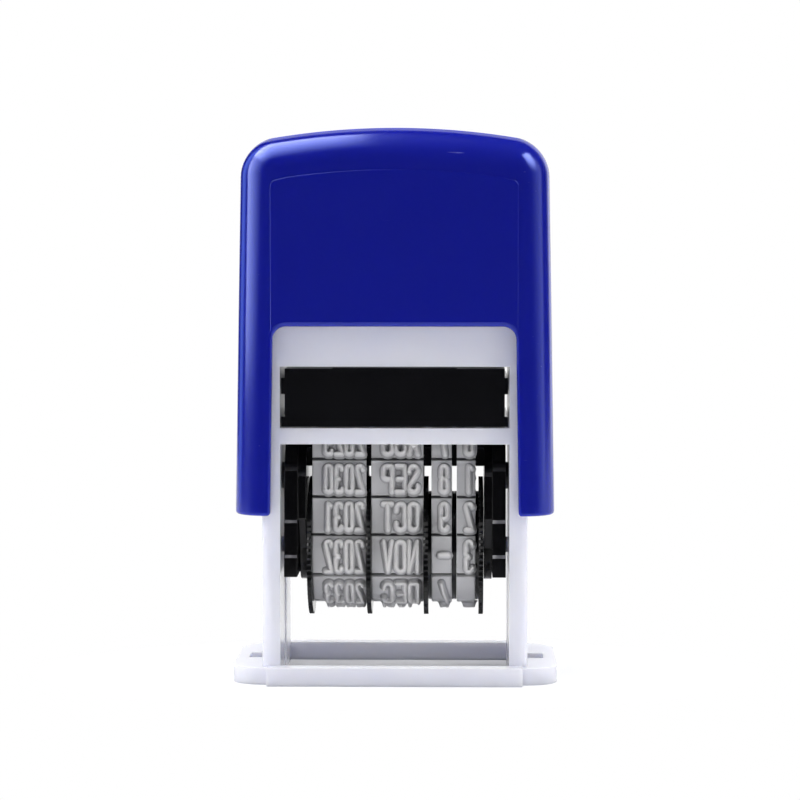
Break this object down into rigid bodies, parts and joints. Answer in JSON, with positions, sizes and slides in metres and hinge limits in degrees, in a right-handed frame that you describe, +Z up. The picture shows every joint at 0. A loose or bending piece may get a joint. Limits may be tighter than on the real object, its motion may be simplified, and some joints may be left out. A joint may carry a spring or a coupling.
{
  "type": "self-inking date stamp",
  "caption": "Desk date stamp: a sprung cover pushes a reversing unit of rubber date bands from the ink pad above it down to the paper through an open frame.",
  "frame": {"origin": "middle of the base's underside", "axes": "+Z up along the cover's travel, -Y the front, +X to the right seen from the front"},
  "size_m": [0.0422, 0.0268, 0.0718],
  "materials": {
    "blue_abs": "glossy moulded ABS, royal blue",
    "white_abs": "satin moulded ABS, cool white",
    "spring_steel": "drawn spring wire",
    "black_ps": "satin moulded polystyrene, black",
    "ink_felt": "felt soaked in black ink",
    "black_abs": "moulded ABS, black",
    "axle_steel": "ground steel pin",
    "wheel_abs": "moulded ABS, black",
    "band_rubber": "moulded grey rubber with raised type"
  },
  "bodies": {
    "frame": {"frame": "white_abs", "return_spring": "spring_steel"},
    "cover": {"cover": "blue_abs"},
    "date_unit": {"left_cheek": "black_abs", "right_cheek": "black_abs", "band_bridge": "black_abs", "wheel_axle": "axle_steel", "wheel_spacer": "wheel_abs", "year_band": "band_rubber", "month_band": "band_rubber", "day_unit_band": "band_rubber", "day_ten_band": "band_rubber"},
    "year_wheel": {"year_wheel": "wheel_abs"},
    "month_wheel": {"month_wheel": "wheel_abs"},
    "day_unit_wheel": {"day_unit_wheel": "wheel_abs"},
    "day_ten_wheel": {"day_ten_wheel": "wheel_abs"},
    "ink_cartridge": {"ink_tray": "black_ps", "ink_pad": "ink_felt"}
  },
  "joints": [
    {"name": "press", "type": "slide", "parent": "frame", "child": "cover", "axis": [0, 0, -1], "range_m": [0, 0.0192], "stiffness_N_per_m": 500, "springref_m": -0.008, "deforming": ["return_spring"]},
    {"name": "flip", "type": "hinge", "parent": "cover", "child": "date_unit", "pos_m": [0, 0, 0.02625], "axis": [-1, 0, 0], "range_deg": [0, 180]},
    {"name": "year_turn", "type": "hinge", "parent": "date_unit", "child": "year_wheel", "pos_m": [0, 0, 0.01695], "axis": [1, 0, 0], "continuous": true},
    {"name": "month_turn", "type": "hinge", "parent": "date_unit", "child": "month_wheel", "pos_m": [0, 0, 0.01695], "axis": [1, 0, 0], "continuous": true},
    {"name": "day_unit_turn", "type": "hinge", "parent": "date_unit", "child": "day_unit_wheel", "pos_m": [0, 0, 0.01695], "axis": [1, 0, 0], "continuous": true},
    {"name": "day_ten_turn", "type": "hinge", "parent": "date_unit", "child": "day_ten_wheel", "pos_m": [0, 0, 0.01695], "axis": [1, 0, 0], "continuous": true},
    {"name": "cartridge_pull", "type": "slide", "parent": "frame", "child": "ink_cartridge", "axis": [0, -1, 0], "range_m": [0, 0.027]}
  ],
  "couplings": [
    {"joint": "flip", "follows": "press", "rad_per_m": 163.62}
  ]
}
